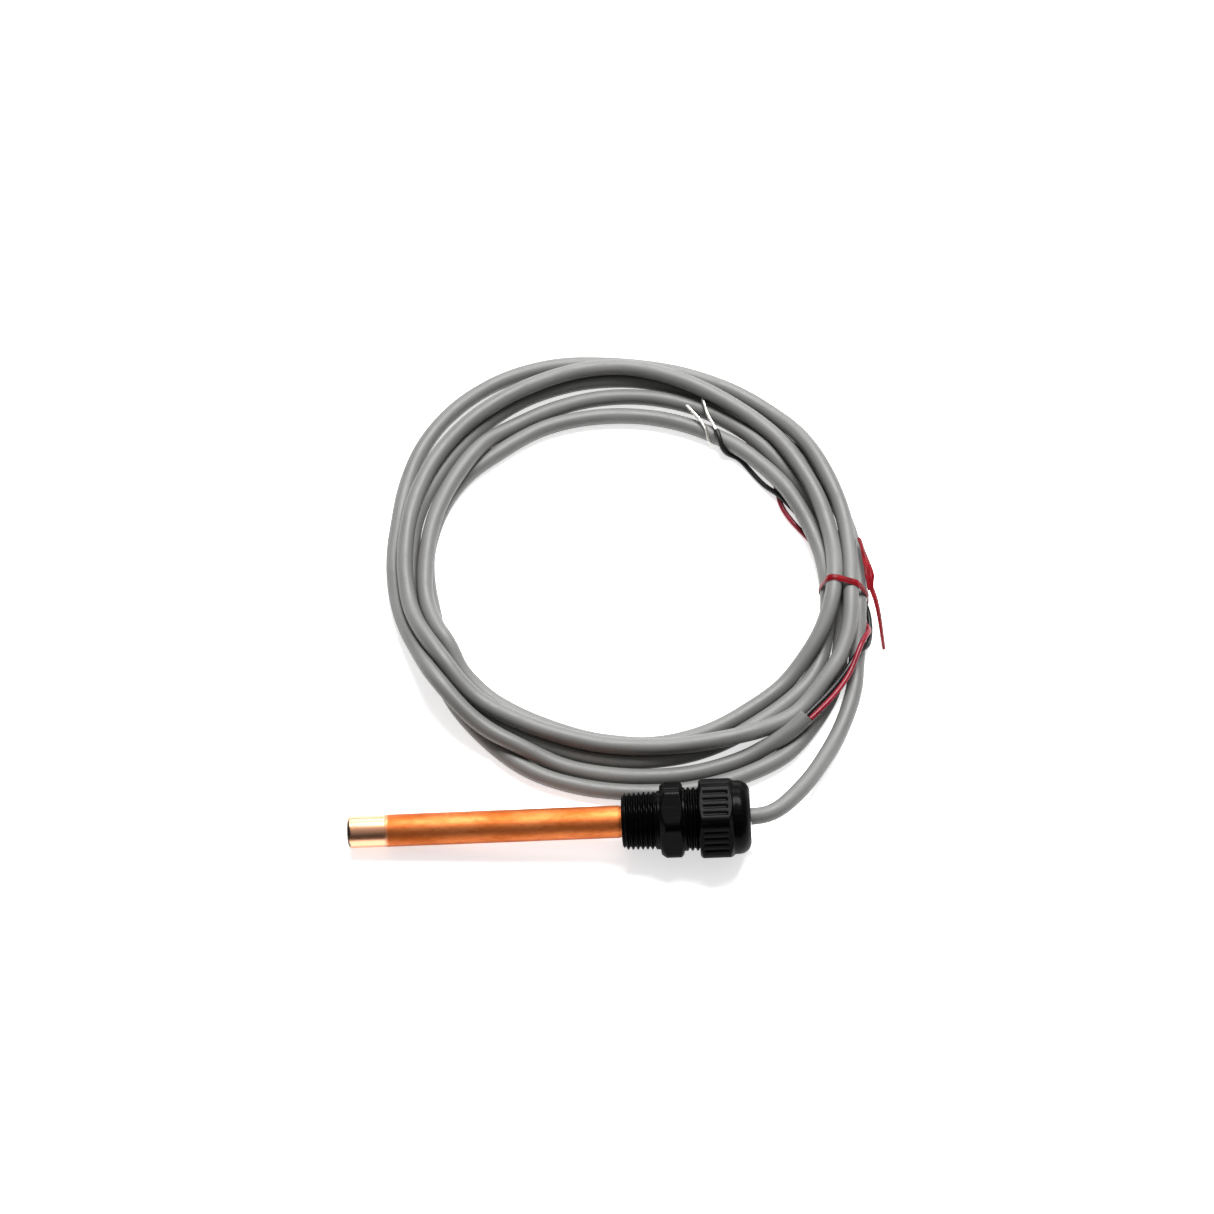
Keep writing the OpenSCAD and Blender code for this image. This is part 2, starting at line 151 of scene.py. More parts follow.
class Surface:
    """A material being built: a Principled BSDF and the nodes that feed it."""

    def __init__(self, name, colour, roughness, metallic=0.0, **sockets):
        self.material = bpy.data.materials.new(name)
        self.material.use_nodes = True
        self.tree = self.material.node_tree
        self.bsdf = self.tree.nodes["Principled BSDF"]
        self.bsdf.inputs["Base Color"].default_value = (*colour, 1)
        self.bsdf.inputs["Roughness"].default_value = roughness
        self.bsdf.inputs["Metallic"].default_value = metallic
        for socket, value in sockets.items():
            self.bsdf.inputs[socket.replace("_", " ")].default_value = value
        self.height = None

    def link(self, a, b):
        self.tree.links.new(a, b)

    def node(self, kind, **settings):
        made = self.tree.nodes.new(kind)
        for name, value in settings.items():
            setattr(made, name, value)
        return made

    def object_coords(self, stretch=(1, 1, 1)):
        coords = self.node("ShaderNodeTexCoord")
        return self.stretched(coords.outputs["Object"], stretch)

    def straight_coords(self, stretch=(1, 1, 1)):
        """Where a point of a cord would be if the cord lay straight along Z."""
        coords = self.node("ShaderNodeAttribute", attribute_name="straight")
        return self.stretched(coords.outputs["Vector"], stretch)

    def stretched(self, socket, stretch):
        mapping = self.node("ShaderNodeMapping")
        mapping.inputs["Scale"].default_value = stretch
        self.link(socket, mapping.inputs["Vector"])
        return mapping.outputs["Vector"]

    def noise(self, coords, size, detail=3.0, roughness=0.55):
        """Noise whose blotches are about size metres across."""
        made = self.node("ShaderNodeTexNoise")
        made.inputs["Scale"].default_value = 1 / size
        made.inputs["Detail"].default_value = detail
        made.inputs["Roughness"].default_value = roughness
        self.link(coords, made.inputs["Vector"])
        return made.outputs["Fac"]

    def spread(self, socket, low, high, out_low=0.0, out_high=1.0):
        made = self.node("ShaderNodeMapRange")
        made.inputs["From Min"].default_value = low
        made.inputs["From Max"].default_value = high
        made.inputs["To Min"].default_value = out_low
        made.inputs["To Max"].default_value = out_high
        self.link(socket, made.inputs["Value"])
        return made.outputs["Result"]

    def sums(self, operation, a, b):
        made = self.node("ShaderNodeMath", operation=operation)
        for socket, value in zip(made.inputs, (a, b)):
            if isinstance(value, (int, float)):
                socket.default_value = value
            else:
                self.link(value, socket)
        return made.outputs["Value"]

    def mixed(self, factor, a, b):
        """Colour a where factor is 0 and b where it is 1."""
        made = self.node("ShaderNodeMix", data_type="RGBA")
        self.link(factor, made.inputs["Factor"])
        for socket, value in ((made.inputs[6], a), (made.inputs[7], b)):
            if isinstance(value, tuple):
                socket.default_value = (*value, 1)
            else:
                self.link(value, socket)
        return made.outputs[2]

    def colour(self, socket):
        self.link(socket, self.bsdf.inputs["Base Color"])

    def rough(self, socket):
        self.link(socket, self.bsdf.inputs["Roughness"])

    def bump(self, height, depth):
        """Adds relief of depth metres from a height between 0 and 1."""
        made = self.node("ShaderNodeBump")
        made.inputs["Strength"].default_value = 1
        made.inputs["Distance"].default_value = depth
        self.link(height, made.inputs["Height"])
        if self.height is not None:
            self.link(self.height, made.inputs["Normal"])
        self.height = made.outputs["Normal"]
        self.link(self.height, self.bsdf.inputs["Normal"])


# ---------------------------------------------------------------- materials

POLISHED_LENGTH = 11.2


def copper_material():
    s = Surface("copper", (0.72, 0.33, 0.16), 0.3, 1.0)
    along = s.object_coords((1, 1, 0.35))
    blotch = s.noise(along, 6 * MM, 4, 0.62)
    speck = s.noise(s.object_coords((1, 1, 0.5)), 1.1 * MM, 3)
    drawn = s.noise(s.object_coords((1, 1, 0.02)), 0.35 * MM, 2)
    place = s.node("ShaderNodeSeparateXYZ")
    s.link(s.object_coords(), place.inputs[0])
    wander = s.spread(blotch, 0.3, 0.7, -0.7 * MM, 0.7 * MM)
    station = s.sums("ADD", place.outputs["Z"], wander)
    plain = s.spread(station, (POLISHED_LENGTH - 0.7) * MM, (POLISHED_LENGTH + 0.7) * MM)
    # Painted reflection: the lower side of the tube facing the camera is darkened to stand in for
    # the dark horizon reflected there, with blotchy edges
    painted_band_side = s.spread(s.sums("ADD", place.outputs["Y"], s.sums("MULTIPLY", blotch, 1.6 * MM)),
                          -2.2 * MM, 0.8 * MM, 1, 0)
    painted_band_low = s.spread(place.outputs["X"], -0.6 * MM, 1.6 * MM)
    painted_reflection_band = s.sums("MULTIPLY", painted_band_side, painted_band_low)
    warm = s.mixed(s.spread(blotch, 0.36, 0.66), (0.44, 0.105, 0.02), (0.64, 0.2, 0.062))
    warm = s.mixed(s.spread(speck, 0.52, 0.75, 0, 0.5), warm, (0.35, 0.075, 0.014))
    # mixes in the painted dark reflection band along the lower, camera-facing side
    warm = s.mixed(s.sums("MULTIPLY", painted_reflection_band, 0.6), warm, (0.24, 0.038, 0.006))
    bare = s.mixed(plain, (0.9, 0.45, 0.27), warm)
    end = s.spread(station, 0.9 * MM, 0.5 * MM)
    s.colour(s.mixed(end, bare, (0.07, 0.055, 0.045)))
    dull = s.spread(blotch, 0.3, 0.7, 0.62, 0.5)
    s.rough(s.sums("ADD", s.sums("MULTIPLY", plain, dull), s.spread(plain, 0, 1, 0.3, 0)))
    s.bump(drawn, 0.012 * MM)
    s.bump(speck, 0.01 * MM)
    return s.material


def oxidised_material():
    s = Surface("dark_end", (0.10, 0.09, 0.085), 0.5, 0.6)
    mottle = s.noise(s.object_coords(), 1.4 * MM, 4)
    s.colour(s.mixed(mottle, (0.05, 0.045, 0.045), (0.17, 0.13, 0.11)))
    s.rough(s.spread(mottle, 0.3, 0.7, 0.38, 0.6))
    s.bump(mottle, 0.03 * MM)
    return s.material


def nylon_material():
    s = Surface("black_nylon", (0.002, 0.002, 0.002), 0.34, 0, Specular_IOR_Level=0.02,
                Coat_Weight=0.04, Coat_Roughness=0.16)
    flow = s.noise(s.object_coords((1, 1, 0.4)), 5 * MM, 3)
    grain = s.noise(s.object_coords(), 0.22 * MM, 2)
    scuff = s.noise(s.object_coords((1, 1, 0.12)), 0.8 * MM, 3)
    s.colour(s.mixed(s.spread(scuff, 0.55, 0.8), (0.0008, 0.0008, 0.0009), (0.004, 0.004, 0.004)))
    s.rough(s.sums("ADD", s.spread(flow, 0.3, 0.7, 0.3, 0.44), s.spread(scuff, 0.5, 0.8, 0, 0.1)))
    s.bump(grain, 0.008 * MM)
    s.bump(flow, 0.02 * MM)
    return s.material


def jacket_material():
    s = Surface("grey_jacket", (0.14, 0.14, 0.136), 0.42, 0, Specular_IOR_Level=0.5)
    lines = s.noise(s.straight_coords((1, 1, 0.02)), 0.7 * MM, 2)
    grain = s.noise(s.straight_coords(), 0.3 * MM, 2)
    cloud = s.noise(s.straight_coords((1, 1, 0.15)), 5 * MM, 4)
    dirt = s.noise(s.straight_coords((1, 1, 0.5)), 1.6 * MM, 4, 0.7)
    grey = s.mixed(s.spread(cloud, 0.3, 0.7), (0.115, 0.115, 0.110), (0.160, 0.160, 0.155))
    grey = s.mixed(s.spread(dirt, 0.6, 0.8, 0, 0.35), grey, (0.065, 0.064, 0.060))
    s.colour(grey)
    s.rough(s.sums("ADD", s.spread(cloud, 0.3, 0.7, 0.46, 0.58), s.spread(dirt, 0.5, 0.8, 0, 0.12)))
    s.bump(lines, 0.02 * MM)
    s.bump(grain, 0.006 * MM)
    return s.material


def insulation_material(name, dark, light, roughness):
    s = Surface(name, light, roughness, 0, Specular_IOR_Level=0.3)
    cloud = s.noise(s.straight_coords((1, 1, 0.2)), 3 * MM, 3)
    lines = s.noise(s.straight_coords((1, 1, 0.03)), 0.3 * MM, 2)
    s.colour(s.mixed(s.spread(cloud, 0.3, 0.7), dark, light))
    s.rough(s.spread(cloud, 0.3, 0.7, roughness, roughness + 0.12))
    s.bump(lines, 0.008 * MM)
    return s.material


def plain_insulation_material(name, dark, light, roughness):
    """The same insulation inside the sheath, where the lead is straight already."""
    s = Surface(name, light, roughness)
    cloud = s.noise(s.object_coords(), 3 * MM, 3)
    s.colour(s.mixed(s.spread(cloud, 0.3, 0.7), dark, light))
    s.bump(s.noise(s.object_coords(), 0.3 * MM), 0.006 * MM)
    return s.material


def metal_material(name, dark, light, roughness):
    s = Surface(name, light, roughness, 1.0)
    dull = s.noise(s.object_coords(), 0.9 * MM, 4)
    s.colour(s.mixed(s.spread(dull, 0.3, 0.7), dark, light))
    s.rough(s.spread(dull, 0.3, 0.7, roughness + 0.15, roughness))
    s.bump(dull, 0.01 * MM)
    return s.material


def moulded_material(name, dark, light, roughness, grain=0.3, depth=0.01):
    s = Surface(name, light, roughness)
    cloud = s.noise(s.object_coords(), 3.5 * MM, 3)
    fine = s.noise(s.object_coords(), grain * MM, 3)
    s.colour(s.mixed(s.spread(cloud, 0.3, 0.7), dark, light))
    s.rough(s.spread(fine, 0.3, 0.7, roughness - 0.06, roughness + 0.08))
    s.bump(fine, depth * MM)
    return s.material


def tie_material():
    s = Surface("red_tie", (0.15, 0.0006, 0.004), 0.4, 0, Specular_IOR_Level=0.15)
    cloud = s.noise(s.object_coords(), 2.5 * MM, 3)
    fine = s.noise(s.object_coords(), 0.5 * MM, 2)
    s.colour(s.mixed(s.spread(cloud, 0.3, 0.7), (0.10, 0.0004, 0.003), (0.21, 0.0008, 0.006)))
    s.rough(s.spread(fine, 0.3, 0.7, 0.32, 0.48))
    s.bump(fine, 0.02 * MM)
    return s.material


# ---------------------------------------------------------------- mesh helpers


def add_object(name, mesh, material, place=Matrix.Identity(4)):
    mesh.materials.append(material)
    made = bpy.data.objects.new(name, mesh)
    made.matrix_world = place
    bpy.context.scene.collection.objects.link(made)
    return made


def mesh_of(name, points, faces, sharp=38):
    mesh = bpy.data.meshes.new(name)
    mesh.from_pydata([tuple(p) for p in points], [], faces)
    mesh.update()
    mesh.polygons.foreach_set("use_smooth", [True] * len(mesh.polygons))
    mesh.set_sharp_from_angle(angle=math.radians(sharp))
    return mesh


def skin_faces(rings, columns, ring_loop, offset=0):
    """Quads between neighbouring rings of points; a tube's two ends get a face each."""
    faces = []
    last = rings if ring_loop else rings - 1
    for i in range(last):
        a, b = i * columns + offset, (i + 1) % rings * columns + offset
        faces += [
            (a + k, a + (k + 1) % columns, b + (k + 1) % columns, b + k) for k in range(columns)
        ]
    if not ring_loop:
        faces.append(tuple(offset + k for k in reversed(range(columns))))
        faces.append(tuple(offset + (rings - 1) * columns + k for k in range(columns)))
    return faces


def spline(knots, values, where):
    """Natural cubic through values at knots, one column or several, read at where."""
    knots, values = np.asarray(knots, float), np.asarray(values, float)
    step = np.diff(knots)
    size = len(knots)
    matrix = np.eye(size)
    right = np.zeros(values.shape)
    slope = (np.diff(values, axis=0).T / step).T
    for i in range(1, size - 1):
        matrix[i, i - 1:i + 2] = step[i - 1], 2 * (step[i - 1] + step[i]), step[i]
        right[i] = 3 * (slope[i] - slope[i - 1])
    bend = np.linalg.solve(matrix, right)
    i = np.clip(np.searchsorted(knots, where) - 1, 0, size - 2)
    shape = (-1,) + (1,) * (values.ndim - 1)
    part = (where - knots[i]).reshape(shape)
    h = step[i].reshape(shape)
    first = slope[i] - h * (2 * bend[i] + bend[i + 1]) / 3
    third = (bend[i + 1] - bend[i]) / (3 * h)
    return values[i] + first * part + bend[i] * part**2 + third * part**3


def lengths(points):
    """Distance along a line of points, from its first to each one."""
    return np.concatenate([[0], np.cumsum(np.linalg.norm(np.diff(points, axis=0), axis=1))])


def smooth_route(points, step):
    """Even steps along the smooth curve through a few points."""
    points = np.array(points, float)
    knots = lengths(points)
    fine = spline(knots, points, np.linspace(0, knots[-1], 20 * len(points)))
    along = lengths(fine)
    where = np.linspace(0, along[-1], max(3, round(along[-1] / step) + 1))
    return np.stack([np.interp(where, along, fine[:, k]) for k in range(3)], 1)


def frames(line, up=(0, 0, 1)):
    """Tangent, side and normal at each point of a line, carried along without twist."""
    tangent = np.gradient(line, axis=0)
    tangent /= np.linalg.norm(tangent, axis=1)[:, None]
    normal = np.zeros_like(line)
    first = np.array(up, float) - tangent[0] * np.dot(up, tangent[0])
    normal[0] = first / np.linalg.norm(first)
    for i in range(1, len(line)):
        n = normal[i - 1] - tangent[i] * np.dot(normal[i - 1], tangent[i])
        normal[i] = n / np.linalg.norm(n)
    return tangent, np.cross(tangent, normal), normal


def tube_mesh(name, line, radius, columns=20, swell=None):
    """Closed tube in metres along a line in mm; radius may vary with the distance along it."""
    tangent, side, normal = frames(line)
    along = lengths(line)
    around = np.arange(columns) * 2 * math.pi / columns
    r = np.full((len(line), columns), float(radius))
    if swell is not None:
        r += swell(along[:, None], around[None, :])
    cosine, sine = np.cos(around)[None, :, None], np.sin(around)[None, :, None]
    circle = cosine * side[:, None] + sine * normal[:, None]
    points = line[:, None] + r[:, :, None] * circle
    mesh = mesh_of(name, points.reshape(-1, 3) * MM, skin_faces(len(line), columns, False), 60)
    straight = np.stack([
        r * np.cos(around)[None], r * np.sin(around)[None], np.broadcast_to(along[:, None], r.shape)
    ], 2)
    attribute = mesh.attributes.new("straight", "FLOAT_VECTOR", "POINT")
    attribute.data.foreach_set("vector", (straight * MM).astype(np.float32).ravel())
    return mesh


# ---------------------------------------------------------------- the cable's route
# The same points as in the CAD, in mm.

CABLE_R = 2.5
LEAD_R = 0.8
COIL_CENTRE = np.array([24.5, 84.0])

CABLE_ROUTE = [
    (58.5, 0, 11.9), (62, 0.3, 12.1), (65.6, 1.6, 12.1), (69, 4.2, 11.6),
    (72.4, 7.8, 10.6), (75.6, 11.8, 9.3), (78.6, 16.2, 7.8), (81.5, 21, 6.3),
    (84.3, 26, 4.9), (86.8, 31.2, 3.8), (89.1, 36.7, 3), (91, 42.4, 2.6),
    (92.3, 48.2, 2.5), (92.7, 53.6, 2.6), (92.6, 59, 3.1), (92.6, 64.4, 3.9),
    (93.2, 69.8, 4.6),
]
RED_ROUTE = [
    (77.6, 32.7, 7.9), (81.2, 36.2, 8), (84.8, 40, 7.9), (87.8, 44, 7.6),
    (90.4, 48.2, 7.5), (92.2, 52.5, 7.7), (93.7, 56.4, 8.1), (95.6, 60.4, 6.8),
    (96.5, 64, 3.7), (95.4, 68, 1.6), (94, 72.4, 1.2), (91, 77, 1.2),
    (88.2, 81.8, 0.9), (85.9, 87.2, 0.8), (83.7, 92.3, 0.8), (80.8, 97, 0.8),
    (77.2, 101.4, 0.8), (74.5, 105.2, 0.8), (72.6, 109, 0.8), (71.7, 112.9, 0.8),
    (71.1, 117.3, 0.8), (70, 122.2, 0.8), (67.3, 127.5, 0.8), (63, 130.8, 0.8),
    (58.6, 131.9, 0.8), (54.3, 131.7, 1),
]
BLACK_ROUTE = [
    (76.4, 33.9, 7.7), (80, 37.6, 7.6), (83.4, 41.2, 7.4), (86.4, 45, 7),
    (89, 48.8, 6.3), (91.1, 52.3, 6), (93.1, 55.3, 6.3), (95.4, 57.5, 5.3),
    (96.9, 60.2, 3.2), (97.7, 63.8, 1.5), (97.8, 68.2, 0.9), (97.2, 73.2, 1.2),
    (94.6, 77.8, 1.2), (91.4, 81.8, 0.9), (88.8, 86, 0.8), (86.3, 91, 0.8),
    (83.8, 96.6, 0.8), (80.4, 102.2, 0.8), (77.2, 106.4, 0.8), (74.2, 109.6, 2.1),
    (71.6, 112.3, 2.7), (68.8, 115, 1), (65.7, 118.6, 0.8), (62.4, 123.2, 0.8),
    (59.5, 127.2, 0.9), (56.4, 129.5, 3.2), (54.3, 131.7, 5.2), (53.1, 133.5, 5.9),
]
RED_STRANDS = [
    (54.3, 131.7, 1), (51.2, 131.3, 2.4), (50.2, 133.6, 4.8), (48.5, 136.6, 6.2),
    (46.2, 139.8, 6), (44.1, 142.8, 5.9),
]
BLACK_STRANDS = [
    (53.1, 133.5, 5.9), (51.9, 136.2, 6), (50.6, 139.2, 6), (49.8, 142.2, 5.9), (49, 145.2, 5.8),
]

TIE_ANGLE = -7.5
# Each turn of the coil: angle from +X, radius, and the height from which it settles.
TURNS = [
    [(-7.5, 70.6, 5.3), (15, 69.9, 2.9), (30, 69.4, 2.5), (60, 69, 2.5), (75, 69.8, 2.5),
     (90, 70.6, 2.5), (105, 71, 2.5), (120, 70.8, 2.5), (135, 70, 2.5), (150, 69, 2.5),
     (165, 68.3, 2.5), (180, 66.6, 2.5), (195, 65.4, 2.5), (210, 64.8, 2.5), (225, 63.4, 2.5),
     (240, 61.8, 2.5), (255, 61.2, 2.5), (270, 61.4, 2.5), (285, 62, 2.5), (300, 62.8, 2.5),
     (330, 63.8, 3.4)],
    [(-7.5, 61.6, 6.5), (15, 58.6, 3), (30, 57.4, 2.5), (45, 56.9, 2.5), (60, 56.9, 2.5),
     (90, 57.1, 2.5), (105, 57.9, 2.5), (120, 59.4, 2.5), (135, 61, 2.5), (150, 62, 2.5),
     (165, 62.1, 2.5), (180, 62, 2.5), (195, 62.4, 3.4), (203, 64.2, 6.4), (208, 65.6, 7.5),
     (216, 67, 6.6), (225, 68, 4.5), (240, 69.2, 2.5), (255, 70.8, 2.5), (270, 71.6, 2.5),
     (297, 74.3, 2.5), (318, 73.5, 2.5), (330, 71, 2.8)],
    [(-7.5, 65.6, 3.1), (15, 64.2, 3), (30, 62.6, 2.5), (60, 63.4, 2.5), (90, 64.1, 2.5),
     (105, 63.9, 2.5), (120, 63.4, 4), (135, 62.4, 7.5), (150, 62.1, 7.5), (165, 61.9, 7.5),
     (180, 61.6, 7.5), (195, 62.2, 8), (203, 61.8, 8.4), (209, 61.6, 6.8), (216, 60.6, 4.6),
     (225, 58.6, 2.8), (240, 56.2, 2.5), (255, 55.9, 2.5), (270, 56.6, 2.5), (285, 57.1, 2.5),
     (300, 57.5, 2.5), (330, 61.5, 5)],
    [(-7.5, 62.7, 11.4), (15, 63.4, 8.5), (30, 64.2, 7.5), (60, 67.2, 8), (75, 69.3, 8),
     (90, 72.1, 7.8), (105, 72.2, 7.6), (120, 71.8, 7.6), (135, 71.6, 7.6), (150, 70.6, 7.8),
     (165, 69.2, 9), (180, 67.6, 11), (195, 66.8, 11), (210, 65, 12), (225, 62.4, 9.5),
     (240, 59.8, 8), (255, 58.8, 7.5), (270, 58.9, 7), (284, 60.9, 8), (296, 63.1, 8.5),
     (310, 66.5, 9), (326, 69.8, 9.2), (338, 70.2, 9.8)],
    [(-7.5, 67.7, 9.5), (15, 69, 8.2), (30, 70, 7.5), (60, 73.3, 4), (75, 73.6, 2.5),
     (90, 75.3, 2.5), (105, 78.6, 2.5), (120, 80.4, 2.5), (135, 80, 2.5), (150, 77, 2.5),
     (165, 72.6, 3.5), (180, 69.6, 6.5), (195, 67.4, 8), (210, 67.6, 9), (225, 68.6, 9.5),
     (240, 67.6, 7.5), (255, 66.6, 4.5), (270, 66.8, 3), (284, 68.4, 4), (295, 69.6, 8.5),
     (306, 71, 8.2), (316, 72.4, 7.9)],
]
TURN_STEPS = 96
SETTLE_ROUNDS = 170


def close_points(line, radius, apart):
    """Pairs (point, segment) of a line that are within radius and not near along it."""
    index = np.arange(len(line))
    middle = (line[1:] + line[:-1]) / 2
    gap = np.linalg.norm(line[:, None] - middle[None], axis=2)
    return np.nonzero((gap < radius) & (abs(index[:, None] - index[None, :-1]) > apart))


def push_apart(line, pairs, gap):
    """Moves points off the segments that they lie in."""
    point, seg = pairs
    start, step = line[seg], line[seg + 1] - line[seg]
    part = np.clip(((line[point] - start) * step).sum(1) / (step * step).sum(1), 0, 1)[:, None]
    away = line[point] - start - part * step
    distance = np.linalg.norm(away, axis=1)[:, None]
    move = np.maximum(gap - distance, 0) * 0.5 * away / np.maximum(distance, 1e-6)
    touching = (distance < gap).astype(float)
    total, count = np.zeros_like(line), np.zeros((len(line), 1))
    for where, share, sign in ((point, 1, 1), (seg, 1 - part, -1), (seg + 1, part, -1)):
        np.add.at(total, where, sign * share * move)
        np.add.at(count, where, share * touching)
    return line + 0.9 * total / np.maximum(count, 1)


def settle_coil(leads):
    """Lays the five turns from their plan on the floor, the leads and each other."""
    plan = np.array([(a + 360 * t, r, z) for t, turn in enumerate(TURNS) for a, r, z in turn])
    steps = round((plan[-1, 0] - plan[0, 0]) / 360 * TURN_STEPS) + 1
    angle = np.linspace(plan[0, 0], plan[-1, 0], steps)
    radius = spline(plan[:, 0], plan[:, 1], angle)
    turns = np.stack([
        COIL_CENTRE[0] + radius * np.cos(np.radians(angle)),
        COIL_CENTRE[1] + radius * np.sin(np.radians(angle)),
        np.interp(angle, plan[:, 0], plan[:, 2]),
    ], 1)
    run = smooth_route(CABLE_ROUTE, np.linalg.norm(turns[1] - turns[0]))
    line = np.concatenate([run, turns])
    aim = line.copy()
    held = np.zeros(len(line), bool)
    held[:len(run) - 4] = True
    held[-1] = True
    grip = np.zeros(len(line))
    turn_share = (angle - TIE_ANGLE + 180) % 360 - 180
    grip[len(run):] = np.exp(-(turn_share / 5) ** 2)
    for i in range(SETTLE_ROUNDS):
        if i % 10 == 0:
            pairs = close_points(line, 3.2 * CABLE_R, 12)
        moved = line.copy()
        moved[:, 2] -= (0.12 if i < 0.8 * SETTLE_ROUNDS else 0.03) * (1 - grip)
        moved[:, :2] += 0.1 * (aim[:, :2] - moved[:, :2])
        moved[:, 2] += 0.25 * grip * (aim[:, 2] - moved[:, 2])
        for _ in range(4):
            stiff = -moved[:-4] + 4 * moved[1:-3] - 6 * moved[2:-2] + 4 * moved[3:-1] - moved[4:]
            moved[2:-2] += 0.055 * stiff
        for _ in range(3):
            moved = push_apart(moved, pairs, 2 * CABLE_R + 0.03)
            near = np.linalg.norm(moved[:, None, :2] - leads[None, :, :2], axis=2)
            reach = CABLE_R + LEAD_R
            over = leads[None, :, 2] + np.sqrt(np.maximum(reach**2 - near**2, 0))
            over = np.where(near < reach, over, 0).max(1)
            moved[:, 2] = np.maximum(moved[:, 2], np.maximum(CABLE_R, over))
            moved[held] = line[held]
        line = moved
    return line


def refined(line, step):
    """The same curve in finer, even steps."""
    knots = lengths(line)
    where = np.linspace(0, knots[-1], round(knots[-1] / step) + 1)
    return spline(knots, line, where)


def make_cable(material):
    low_leads = np.concatenate([
        smooth_route(RED_ROUTE[9:-1], 1.2), smooth_route(BLACK_ROUTE[10:-3], 1.2)
    ])
    line = refined(settle_coil(low_leads), 1.6)

    def swell(along, around):
        # the two twisted cores press a faint helix through the jacket
        return 0.025 * np.cos(2 * (around - along * 2 * math.pi / 38)) - 0.02

    cable = add_object("cable", tube_mesh("cable", line, CABLE_R, 24, swell), material)
    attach(cable, ROOT)
    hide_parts("cable_run", "cable_coil")
    return cable, line


def rested(line, laid, free_from=3):
    """A lead's line, pushed out of the cords that it lies on: pairs of line and distance."""
    line = line.copy()
    along = lengths(line)[:, None]
    share = np.clip((along - free_from) / 2, 0, 1) * np.clip((along[-1] - along) / 2, 0, 1)
    for _ in range(12):
        for other, gap in laid:
            start, step = other[:-1], np.diff(other, axis=0)
            part = ((line[:, None] - start) * step).sum(2) / (step * step).sum(1)
            near = start + np.clip(part, 0, 1)[:, :, None] * step
            away = line[:, None] - near
            distance = np.linalg.norm(away, axis=2)
            closest = distance.argmin(1)
            rows = np.arange(len(line))
            short = np.maximum(gap - distance[rows, closest], 0)[:, None]
            line += share * short * away[rows, closest] / distance[rows, closest][:, None]
        line[1:-1] += 0.25 * share[1:-1] * (line[:-2] + line[2:] - 2 * line[1:-1])
        line[:, 2] = np.maximum(line[:, 2], LEAD_R)
    return line


def make_lead(name, route, laid, material, node):
    line = rested(smooth_route(route, 0.9), laid)
    lead = add_object(name, tube_mesh(name, line, LEAD_R, 16), material)
    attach(lead, ROOT)
    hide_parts(node)
    return lead, line


def make_strands(name, route, material, node):
    """Seven tinned strands laid up in a helix round their middle one."""
    fine_r, lay_r, pitch = 0.17, 0.34, 7.0
    line = smooth_route(route, 0.5)
    tangent, side, normal = frames(line)
    along = lengths(line)
    points, faces = [], []
    columns = 8
    for strand in range(7):
        turn = 2 * math.pi * (along / pitch + strand / 6)
        out = 0 if strand == 6 else lay_r
        fray = 1 + 0.35 * np.clip(along / along[-1] - 0.75, 0, 1) * (strand % 3)
        middle = line + out * fray[:, None] * (
            np.cos(turn)[:, None] * side + np.sin(turn)[:, None] * normal
        )
        middle = middle[: len(middle) - strand % 3]
        t, a, b = frames(middle)
        angle = np.arange(columns) * 2 * math.pi / columns
        ring = middle[:, None] + fine_r * (
            np.cos(angle)[None, :, None] * a[:, None] + np.sin(angle)[None, :, None] * b[:, None]
        )
        faces += skin_faces(len(middle), columns, False, len(points))
        points += list(ring.reshape(-1, 3) * MM)
    strands = add_object(name, mesh_of(name, points, faces, 60), material)
    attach(strands, ROOT)
    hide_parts(node)
    return strands


def make_cords():
    jacket = jacket_material()
    red = insulation_material("red_insulation", (0.13, 0.0008, 0.008), (0.27, 0.002, 0.02), 0.3)
    black = insulation_material(
        "black_insulation", (0.003, 0.003, 0.0032), (0.009, 0.009, 0.0095), 0.34
    )
    tin = metal_material("tinned_strands", (0.62, 0.60, 0.56), (0.92, 0.90, 0.86), 0.28)
    cable, cable_line = make_cable(jacket)
    on_cable = (cable_line, CABLE_R + LEAD_R)
    black_lead, black_line = make_lead(
        "black_lead", BLACK_ROUTE, [on_cable], black, "lead_black"
    )
    on_black = (black_line, 2 * LEAD_R)
    red_lead, red_line = make_lead(
        "red_lead", RED_ROUTE, [on_cable, on_black], red, "lead_red"
    )
    red_end = make_strands("red_lead_strands", RED_STRANDS, tin, "tinned_end_red")
    black_end = make_strands("black_lead_strands", BLACK_STRANDS, tin, "tinned_end_black")
    tie = make_tie(cable_line, [red_line, black_line])


# ---------------------------------------------------------------- the twist tie

TIE_WIDTH = 1.9
TIE_EDGE = 0.16
TIE_RIDGE = 0.4
RIDGE_FOOT, RIDGE_TOP = 0.5, 0.25
TIE_TWIST = [
    (98, 75.6, 7.6), (97.9, 77.4, 8.2), (97.8, 80.2, 8.8), (97.2, 84.4, 8.8), (96.4, 88.8, 8.4),
    (95.5, 93.2, 8),
]
TIE_TAIL = [
    (98.2, 76.4, 7.6), (99, 74, 7.2), (99.9, 70.6, 6), (100.8, 65.4, 3.6), (101.6, 58.6, 1.4)
]


def ribbon_section(width):
    """Flat tie with a round wire ridge along its middle: points (across, out)."""
    half, edge, ridge = width / 2, TIE_EDGE / 2, TIE_RIDGE / 2
    return np.array([
        (-half, -edge), (-RIDGE_FOOT, -edge), (-RIDGE_TOP, -ridge), (RIDGE_TOP, -ridge),
        (RIDGE_FOOT, -edge), (half, -edge), (half, edge), (RIDGE_FOOT, edge),
        (RIDGE_TOP, ridge), (-RIDGE_TOP, ridge), (-RIDGE_FOOT, edge), (-half, edge),
    ])


